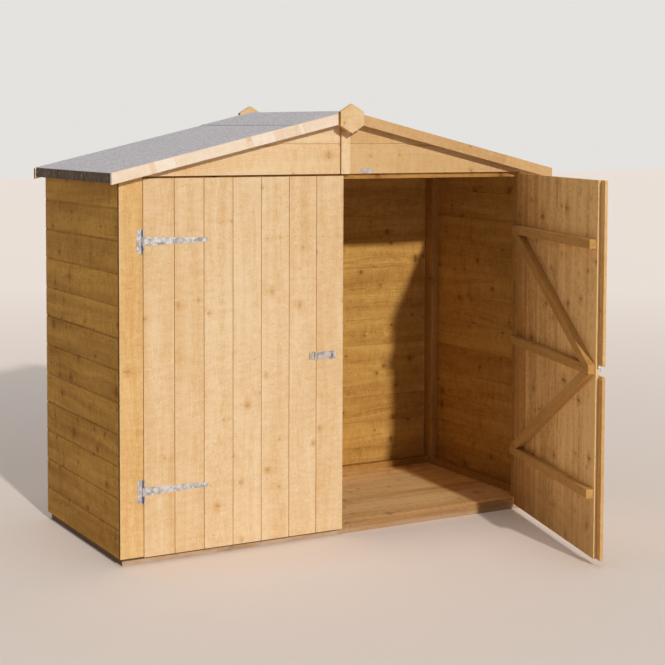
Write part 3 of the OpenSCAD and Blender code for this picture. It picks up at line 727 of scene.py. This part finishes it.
low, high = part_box("roof_felt")
felt_edge = high.x - 0.0018
turn_r = 0.003
flat_xs = (0.0, 0.2, 0.4, 0.6, 0.8, 0.93, felt_edge - 0.005)
turned = []
for step in range(6):
    angle = pitch + (math.pi / 2 - pitch) * step / 5
    turned.append((felt_edge - turn_r * (1 - math.sin(angle)),
                   high.z - (felt_edge - turn_r) * slope - turn_r * (1.04 - math.cos(angle))))
half = [(x, high.z - x * slope) for x in flat_xs] + turned + [
    (felt_edge, low.z + up) for up in (0.022, 0.014, 0.007, 0.0)]
lay_felt("roof_felt_sheet", half, low.y, high.y, "roof_felt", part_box("roof_left")[1].y - 0.015)
clout_z = low.z + 0.019

low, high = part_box("ridge_cap")
half = [(high.x * f, high.z - high.x * f * slope) for f in (0.0, 0.5, 1.0)]
lay_felt("ridge_felt_strip", half, low.y, high.y, "ridge_cap")


# Barge boards and finials: planed boards of short lengths joined end to end, paler and
# pinker than the trims. A hexagonal block covers each meeting at the ridge.
barge_pine = pine_finish("barge_pine", (0.915, 0.810, 0.695), (0.810, 0.610, 0.425), (0.52, 0.27, 0.11),
                         rings=0.26, streaks=1.1, knots=0.35, mark=0.5, sawn=0.5, bump=0.28)
deep_barge_pine = pine_finish("deep_barge_pine", (0.680, 0.440, 0.215), (0.535, 0.305, 0.115),
                              (0.32, 0.13, 0.035), rings=0.28, streaks=1.1, knots=0.4, mark=0.7, bump=0.24)
barge_tall = 0.040 / math.cos(pitch)
glue_half, glue_shade, joint_lean = 0.001, 1.8, -0.016


def add_barge(whole, node, side, joints, shades):
    """Adds one barge board in lengths that meet at slanted joints, with a line of glue in each."""
    low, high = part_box(node)
    top = high.z + ridge_gap * slope
    lengths = []
    for joint, shade in zip(joints, shades):
        lengths += [(joint - glue_half, shade), (joint + glue_half, glue_shade)]
    lengths.append((max(high.x, -low.x), shades[-1]))
    x0, lean0 = ridge_gap, 0.0
    for x1, shade in lengths:
        lean1 = 0.0 if x1 == lengths[-1][0] else joint_lean
        corners = [(x, top - x * slope - down) for x, down in (
            (x0, 0.0), (x1, 0.0), (x1 + lean1, barge_tall), (x0 + lean0, barge_tall))]
        board = drawn_out([(side * x, low.y, z) for x, z in corners], (0, high.y - low.y, 0))
        add_board(whole, board, (side, 0, -slope), (side * slope, 0, 1), 0.0003, shade)
        x0, lean0 = x1, lean1


for node, side, joints, shades in (
        ("barge_front_left", -1, (0.205, 0.223, 0.239, 0.326, 0.418, 0.438, 0.721, 0.799, 0.817),
         (0.5, -0.3, 1.4, 0.8, -0.5, 1.3, 0.5, -0.8, 1.1, 0.4)),
        ("barge_front_right", 1, (0.200, 0.495, 0.730), (-1.0, -0.1, 0.4, 0.0)),
        ("barge_back_left", -1, (0.255, 0.470, 0.810), (0.1, -0.6, 0.3, -0.2)),
        ("barge_back_right", 1, (0.180, 0.560, 0.770), (-0.2, 0.3, -0.9, 0.2))):
    barge = bmesh.new()
    add_barge(barge, node, side, joints, shades)
    reach = max(abs(v.co.x) for v in barge.verts)
    # The back barges' outer end faces take the dark sawn finish: their end grain is darker, and painted shade
    # darkens them further.
    choose_finish(barge, lambda normal, middle: "back" in node and side * middle.x > reach - 0.0005)
    make_piece(node + "_board", barge, "shed", "barge_boards",
               (barge_pine if side < 0 else deep_barge_pine, sawn_brown_and_painted_shade), node)

half_corner = 0.026
for node in ("front_finial", "back_finial"):
    low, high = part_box(node)
    middle = (low + high) / 2
    fall = (high.z - middle.z - half_corner) / high.x
    cuts = [((side * high.x, 0, middle.z + up * half_corner), (side * fall, 0, up))
            for side in (-1, 1) for up in (-1, 1)]
    finial = bmesh.new()
    add_plank(finial, low, high, "x", cuts, trim_ease, 1.0)
    # The finials' side faces take the darker wall finish: painted shade.
    choose_finish(finial, lambda normal, middle: abs(normal.x) > 0.9)
    make_piece(node + "_block", finial, "shed", "trims", (gable_pine, wall_pine), node)


# Doors: seven planed matchboards a leaf, tongued together with a V joint, on three
# ledges and two braces. The right leaf is made closed and then swung open on its pins.
door_pine = pine_finish("door_pine", (0.822, 0.634, 0.405), (0.668, 0.408, 0.172), (0.40, 0.175, 0.05),
                        rings=0.24, streaks=1.1, knots=0.50, mark=0.55, bump=0.24)
# The inner faces take a lighter, more orange copy of the door's pine: painted bounce light.
inner_pine_with_painted_bounce = pine_finish("inner_pine_with_painted_bounce", (0.98, 0.675, 0.310), (0.56, 0.293, 0.092), (0.22, 0.08, 0.02),
                         rings=0.46, streaks=1.7, knots=0.7, mark=0.85, bump=0.28, shine=0.12)
ledge_pine = pine_finish("ledge_pine", (0.63, 0.370, 0.130), (0.42, 0.210, 0.055), (0.17, 0.065, 0.015),
                         rings=0.40, streaks=1.2, knots=0.4, mark=0.85, bump=0.28, shine=0.12)

# The foot of the leaves inside is darker, up to a wavy line.
tree, stain, planed = opened(inner_pine_with_painted_bounce)
place = place_on(tree)
wavy_line = noise(tree, place, (9.0, 9.0, 2.5), 3.0, 0.6)["Fac"]
height = sum_of(tree, "MULTIPLY_ADD", wavy_line, -0.16, sum_of(tree, "ADD", split(tree, place)["Z"], 0.08))
darker_foot = ramp(tree, height, 0.06, 0.34, 0.50, 0.0)
join(tree, blend_colours(tree, darker_foot, planed, (0.40, 0.20, 0.062, 1.0)), stain)

pin_point = Vector((0.824, -0.3968, 0.0))
swing = Matrix.Rotation(math.radians(74), 3, "Z")
left_low, left_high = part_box("left_door_boards")
meet_x, hinge_x = -left_high.x, -left_low.x
face_y, inside_y = left_low.y, left_high.y
door_z0, door_z1 = left_low.z, left_high.z
hinge_lap, tongue_w = 0.0035, 0.0055
left_tones = (0.2, 0.0, -0.3, -0.6, 0.0, 0.3, 0.3)
# The right leaf's boards are paler towards its free edge and deeper by its hinges: painted light and shade
# across the open leaf.
right_tones_with_painted_light = (-1.3, -1.2, -1.1, -0.3, -0.1, 0.4, 1.3)
leaf_count = len(left_tones)
cover = (hinge_x - meet_x) / leaf_count


def swung_open(*parts):
    for part in parts:
        bmesh.ops.rotate(part, cent=pin_point, matrix=swing, verts=part.verts)


def leaf_finish(normal, middle):
    """The face takes finish 0, the inside 1, the ends and edges 2, and the V joints 3."""
    aside = max(abs(normal.x), abs(normal.z))
    return 1 if normal.y > 0.3 else 2 if aside > 0.9 else 3 if aside > 0.3 else 0


def add_matchboards(whole, side, tones):
    """Adds a closed leaf's boards. The edges of a section are points across, and in from each face."""
    v_w, v_deep, gap, round_off, cheek = 0.0014, 0.0015, 0.0003, 0.0008, 0.0035
    for i, shade in enumerate(tones):
        x0, x1 = meet_x + i * cover, meet_x + (i + 1) * cover
        left = [(x0 + v_w, 0.0), (x0 + gap, v_deep), (x0 + gap, cheek), (x0 + tongue_w + 0.0007, cheek)]
        right = [(x1 - v_w, 0.0), (x1 - gap, v_deep), (x1 - gap, cheek + gap), (x1 + tongue_w, cheek + gap)]
        if i == 0:
            left = [(x0 + round_off, 0.0), (x0, round_off)]
        elif i == leaf_count - 1:
            x1 += hinge_lap
            right = [(x1 - round_off, 0.0), (x1, round_off)]
        section = [(x, inside_y - d) for x, d in left] + [(x, face_y + d) for x, d in reversed(left)]
        section += [(x, face_y + d) for x, d in right] + [(x, inside_y - d) for x, d in reversed(right)]
        board = drawn_out([(side * x, y, door_z0) for x, y in section], (0, 0, door_z1 - door_z0))
        bmesh.ops.recalc_face_normals(board, faces=board.faces)
        choose_finish(board, leaf_finish)
        add_board(whole, board, (0, 0, 1), (1, 0, 0), 0, shade)


ledge_low, ledge_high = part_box("left_door_ledges")
ledge_w = 0.034
ledge_x0, ledge_x1 = -ledge_high.x, -ledge_low.x
ledge_zs = (ledge_low.z, (ledge_low.z + ledge_high.z - ledge_w) / 2, ledge_high.z - ledge_w)


def add_ledges(whole, side):
    for z in ledge_zs:
        start, end = sorted((side * ledge_x0, side * ledge_x1))
        add_plank(whole, (start, ledge_low.y, z), (end, ledge_high.y, z + ledge_w), "x", ease=0.0025)


def add_braces(whole, side):
    """Adds the two braces, cut to fit between the ledges, from the free end to the hinges."""
    rise, deep = ledge_zs[2] - ledge_zs[1] - ledge_w, ledge_high.y - ledge_low.y
    lean = math.atan2(rise, ledge_x1 - ledge_x0)
    foot = ledge_w / math.sin(lean)
    for up in (-1, 1):
        near = ledge_zs[1] + (ledge_w if up > 0 else 0.0)
        far = near + up * rise
        corners = [(ledge_x0, near), (ledge_x0 + foot, near), (ledge_x1, far), (ledge_x1 - foot, far)]
        board = drawn_out([(side * x, ledge_low.y, z) for x, z in corners], (0, deep, 0))
        along = Vector((side * math.cos(lean), 0, up * math.sin(lean)))
        add_board(whole, board, along, along.cross(Vector((0, 1, 0))), 0.0015)


for side, body, tones in ((-1, "left_door", left_tones), (1, "right_door", right_tones_with_painted_light)):
    leaf, ledges, braces = bmesh.new(), bmesh.new(), bmesh.new()
    add_matchboards(leaf, side, tones)
    add_ledges(ledges, side)
    add_braces(braces, side)
    if side > 0:
        swung_open(leaf, ledges, braces)
    make_piece(body + "_matchboards", leaf, body, "door_boards",
               (door_pine, inner_pine_with_painted_bounce, trim_pine, ledge_pine), body + "_boards")
    make_piece(body + "_ledge_battens", ledges, body, "battens", ledge_pine, body + "_ledges")
    make_piece(body + "_brace_battens", braces, body, "battens", ledge_pine, body + "_braces")

# The slam strips on the right leaf's free edge stop short of each other at the hasp.
hasp_z, strip_gap = 0.705, 0.0195
strip_w, strip_t = 0.060, 0.012
strip_x = meet_x - 0.033
strips = bmesh.new()
for z0, z1, shade in ((door_z0, hasp_z - strip_gap, 1.2), (hasp_z + strip_gap, door_z1, 0.2)):
    add_plank(strips, (strip_x, face_y - strip_t, z0), (strip_x + strip_w, face_y, z1), "z",
              ease=0.0014, shade=shade)
swung_open(strips)
make_piece("slam_strip_pair", strips, "right_door", "trims", trim_pine, "slam_strips")


# Ironwork: tee hinges, hasp and staple, pressed from steel and bright galvanised, held
# by countersunk screws. The solids have the right shape, and take the zinc finish here.
def zinc_finish(name, dark, light, metal, painted_shade_lines=()):
    """Spangled zinc, with dark lines of painted shade, each given by how far out it is, half its width and
    its strength.
    """
    finish, tree, shader = new_finish(name)
    place = place_on(tree)
    flake = split(tree, cells_of(tree, place, 95.0)["Color"])[0]
    bloom = noise(tree, place, 60.0, 4.0, 0.6)["Fac"]
    tone = sum_of(tree, "MULTIPLY_ADD", flake, 0.30, sum_of(tree, "MULTIPLY", bloom, 0.75), clamp=True)
    colour = blend_colours(tree, ramp(tree, tone, 0.30, 0.75), (*dark, 1.0), (*light, 1.0))
    for middle, half, strength in painted_shade_lines:
        out = sum_of(tree, "ABSOLUTE", split(tree, place)["X"])
        off = sum_of(tree, "ABSOLUTE", sum_of(tree, "SUBTRACT", out, middle))
        colour = blend_colours(tree, ramp(tree, off, half * 0.5, half, strength, 0.0), colour,
                               (0.075, 0.062, 0.055, 1.0))
    join(tree, colour, shader.inputs["Base Color"])
    join(tree, ramp(tree, tone, 0.2, 0.8, 0.65, 0.40), shader.inputs["Roughness"])
    shader.inputs["Metallic"].default_value = metal
    add_relief(tree, bloom, 0.15, 0.0004)
    return finish


zinc = zinc_finish("bright_zinc", (0.34, 0.325, 0.335), (0.76, 0.73, 0.725), 0.5)
# The hinge plates take a dark line of painted shade at the knuckle.
hinge_zinc = zinc_finish("hinge_zinc", (0.32, 0.30, 0.315), (0.72, 0.68, 0.69), 0.5,
                         ((0.8268, 0.0028, 0.85),))
# The hasp leaf takes dark lines of painted shade at its end, the slot's edge and the knuckle.
hasp_zinc = zinc_finish("hasp_zinc", (0.36, 0.33, 0.33), (0.67, 0.62, 0.60), 0.5,
                        ((0.0525, 0.0026, 0.8), (0.1290, 0.0024, 0.7), (0.1505, 0.0022, 0.8)))
dull_zinc = zinc_finish("dull_zinc", (0.42, 0.36, 0.30), (0.66, 0.60, 0.54), 0.3)
for node, finish in (("hinge_plates", hinge_zinc), ("left_door_straps", zinc), ("right_door_straps", zinc),
                     ("hasp_plate", zinc), ("hasp_leaf", hasp_zinc), ("hasp_staple", zinc),
                     ("blank_plate", dull_zinc)):
    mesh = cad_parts[node].data
    mesh.materials.clear()
    mesh.materials.append(finish)


def add_head(whole, point, outward, radius, tall, sides, top_share, rim_share, dish, proud):
    """Adds a low round head, narrower at its top and dished inside its rim."""
    head = bmesh.new()
    bmesh.ops.create_cone(head, cap_ends=True, segments=sides, radius1=radius, radius2=radius * top_share,
                          depth=tall)
    top = max(head.faces, key=lambda f: f.calc_center_median().z)
    bmesh.ops.inset_region(head, faces=[top], thickness=radius * rim_share, depth=-dish)
    turn = Vector((0, 0, 1)).rotation_difference(Vector(outward)).to_matrix()
    bmesh.ops.rotate(head, cent=(0, 0, 0), matrix=turn, verts=head.verts)
    bmesh.ops.translate(head, vec=Vector(point) + Vector(outward) * proud, verts=head.verts)
    merge(whole, head)


def add_screw(whole, x, y, z, radius=0.0034):
    add_head(whole, (x, y, z), (0, -1, 0), radius, 0.0009, 16, 0.72, 0.25, 0.0002, 0.0002)


# The screws' places are shares of a strap's length, and of a hinge plate's width and height.
iron_t, plate_t = 0.002, 0.0016
strap_l, plate_w, plate_h = 0.254, 0.023, 0.084
hinge_zs = (0.264, 1.162)
hasp_holes = ((0.0415, 0.696), (0.0415, 0.714))
staple_holes = ((0.018, 0.694), (0.018, 0.716), (0.040, 0.694), (0.040, 0.716))
for side, body, holes in ((-1, "left_door", hasp_holes), (1, "right_door", staple_holes)):
    screws = bmesh.new()
    for z in hinge_zs:
        for share in (0.16, 0.38, 0.62, 0.86):
            add_screw(screws, side * (pin_point.x - strap_l * share), face_y - iron_t, z)
    for x, z in holes:
        add_screw(screws, side * x, face_y - plate_t, z, 0.0021)
    if side > 0:
        swung_open(screws)
    make_piece(body + "_screws", screws, body, "galvanised_steel", zinc)

screws = bmesh.new()
for side in (-1, 1):
    for z in hinge_zs:
        for up in (-1, 1):
            add_screw(screws, side * (pin_point.x + 0.65 * plate_w), face_y - iron_t, z + up * 0.32 * plate_h)
low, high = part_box("blank_plate")
for x in (low.x + 0.005, high.x - 0.005):
    add_screw(screws, x, low.y, (low.z + high.z) / 2, 0.0022)
make_piece("hinge_plate_screws", screws, "shed", "galvanised_steel", zinc)

# The raised middle of the hasp's leaf.
pad_middle, pad_size = Vector((-0.0925, face_y - 0.0026, hasp_z)), Vector((0.051, 0.0012, 0.0185))
pad = block(pad_middle - pad_size / 2, pad_middle + pad_size / 2)
bmesh.ops.bevel(pad, geom=pad.edges[:], offset=0.0005, segments=2, profile=0.5, affect="EDGES", material=-1)
front = min(pad.faces, key=lambda f: f.calc_center_median().y)
bmesh.ops.inset_region(pad, faces=[front], thickness=0.0016, depth=-0.0002)
make_piece("hasp_leaf_pressing", pad, "hasp", "galvanised_steel", hasp_zinc)


# Nails: small wire nails hold the boards to the framing, in pairs at the doors' ledges.
# Broad clout nails pin the felt's turned-down edges.
def add_nail(whole, point, outward, radius=0.0018, tall=0.0004):
    add_head(whole, point, outward, radius, tall, 8, 0.8, 0.3, 0.0001, tall * 0.2)


dull_nail = zinc_finish("dull_nail", (0.20, 0.15, 0.10), (0.34, 0.27, 0.20), 0.1)
nail_up, strap_clear = 0.035, 0.02
nails = bmesh.new()
for side, node in ((-1, "left_wall"), (1, "right_wall")):
    low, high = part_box(node)
    for z in board_heights(low.z, foot_cover, high.z - 0.015)[:-1]:
        for y in (low.y + 0.012, high.y - 0.026):
            at = y + chooser.uniform(-0.003, 0.003)
            add_nail(nails, (side * max(high.x, -low.x), at, z + nail_up), (side, 0, 0))
low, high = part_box("back_wall")
for z in board_heights(low.z, foot_cover, 1.36)[:-1]:
    for x in (low.x + 0.030, 0.0, high.x - 0.030):
        add_nail(nails, (x + chooser.uniform(-0.003, 0.003), high.y, z + nail_up), (0, 1, 0))
low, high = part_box("corner_trims")
for x in (low.x + 0.017, high.x - 0.017):
    for z in (0.09, 0.41, 0.73, 1.05, 1.34):
        add_nail(nails, (x + chooser.uniform(-0.004, 0.004), low.y, z), (0, -1, 0))
make_piece("cladding_nails", nails, "shed", "galvanised_steel", dull_nail)

clout_x, first_clout, clout_step = 0.9541, -0.385, 0.125
clouts = bmesh.new()
for side in (-1, 1):
    for i in range(7):
        y = first_clout + i * clout_step + chooser.uniform(-0.008, 0.008)
        add_nail(clouts, (side * clout_x, y, clout_z), (side, 0, 0), 0.0040, 0.0008)
make_piece("felt_clout_nails", clouts, "shed", "galvanised_steel", dull_nail)

for side, body in ((-1, "left_door"), (1, "right_door")):
    nails = bmesh.new()
    for i in range(leaf_count):
        for z in ledge_zs:
            for spread in (-0.032, 0.032):
                x = meet_x + (i + 0.5) * cover + spread + chooser.uniform(-0.003, 0.003)
                near = z + ledge_w / 2 + chooser.uniform(-0.004, 0.004)
                off_straps = all(abs(near - hinge_z) > strap_clear for hinge_z in hinge_zs)
                if off_straps or x < pin_point.x - strap_l - 0.002:
                    add_nail(nails, (side * x, face_y, near), (0, -1, 0))
    if side > 0:
        swung_open(nails)
    make_piece(body + "_nails", nails, body, "galvanised_steel", dull_nail)
